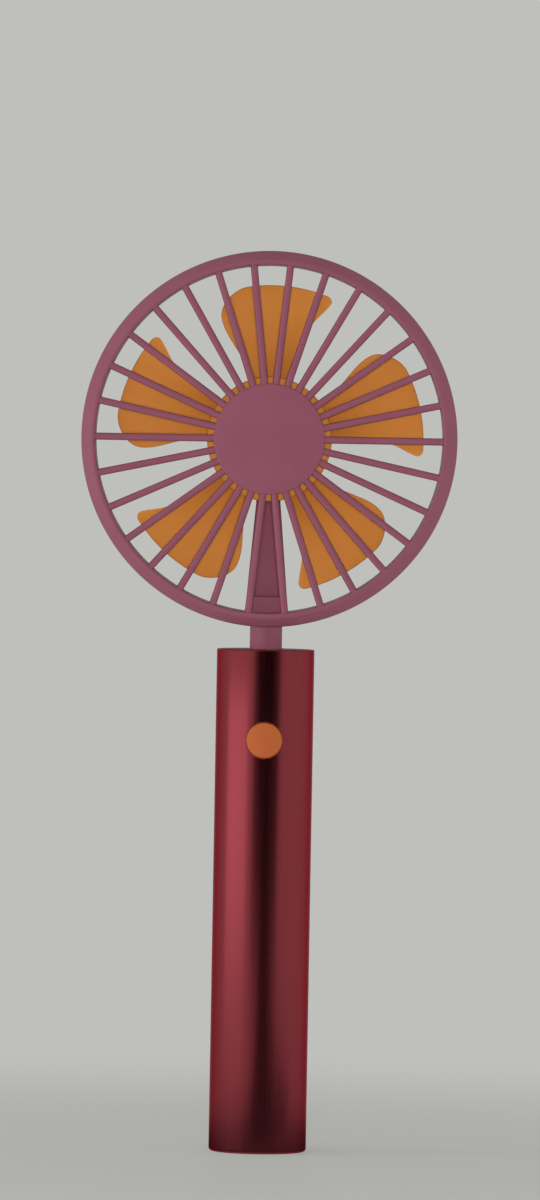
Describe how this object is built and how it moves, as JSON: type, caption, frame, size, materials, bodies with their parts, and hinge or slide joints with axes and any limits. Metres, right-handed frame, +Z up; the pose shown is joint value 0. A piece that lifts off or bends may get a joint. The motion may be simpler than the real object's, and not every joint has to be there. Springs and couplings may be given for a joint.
{
  "type": "handheld rechargeable fan",
  "caption": "Handheld rechargeable fan: a round spoked cage with a bladed impeller on a short neck, over a slim tubular metal handle with a push button and a charging socket.",
  "frame": {"origin": "middle of the handle's flat foot", "axes": "+Z up along the handle, -Y to the front where the air leaves, +X to the right seen from the front"},
  "size_m": [0.1, 0.0271, 0.24],
  "materials": {
    "mauve_plastic": "satin moulded",
    "orange_plastic": "satin moulded",
    "red_aluminium": "anodised satin",
    "orange_button": "satin moulded",
    "red_cap": "satin moulded",
    "screw_steel": "plain",
    "motor_steel": "plated",
    "dark_plastic": "moulded",
    "magnet": "sintered",
    "bronze": "sintered",
    "copper": "wound",
    "cell_jacket": "sleeved",
    "nickel": "plated",
    "board": "lacquered",
    "wire_red": "insulated",
    "wire_black": "insulated"
  },
  "bodies": {
    "body": {"front_grille": "mauve_plastic", "rear_grille": "mauve_plastic", "rear_cover": "mauve_plastic", "cover_screws": "screw_steel", "motor_can": "motor_steel", "motor_end_cap": "dark_plastic", "motor_magnets": "magnet", "motor_bushes": "bronze", "motor_brushes": "bronze", "motor_terminals": "bronze", "motor_screws": "screw_steel", "neck": "mauve_plastic", "neck_screw": "screw_steel", "handle_tube": "red_aluminium", "top_cap": "red_cap", "bottom_cap": "red_cap", "base_screws": "screw_steel", "inner_frame": "dark_plastic", "battery_cell": "cell_jacket", "battery_tabs": "nickel", "battery_lead_red": "wire_red", "battery_lead_black": "wire_black", "circuit_board": "board", "board_chips": "dark_plastic", "board_screws": "screw_steel", "switch_body": "dark_plastic", "usb_shell": "nickel", "usb_tongue": "dark_plastic", "motor_lead_red": "wire_red", "motor_lead_black": "wire_black"},
    "rotor": {"impeller": "orange_plastic", "motor_shaft": "motor_steel", "armature_core": "motor_steel", "armature_windings": "copper", "commutator": "copper"},
    "button": {"power_button": "orange_button", "switch_plunger": "dark_plastic"}
  },
  "joints": [
    {"name": "fan_spin", "type": "hinge", "parent": "body", "child": "rotor", "pos_m": [0, 0, 0.19], "axis": [0, -1, 0], "continuous": true},
    {"name": "button_press", "type": "slide", "parent": "body", "child": "button", "axis": [0, 1, 0], "range_m": [0, 0.0005], "stiffness_N_per_m": 2000}
  ]
}
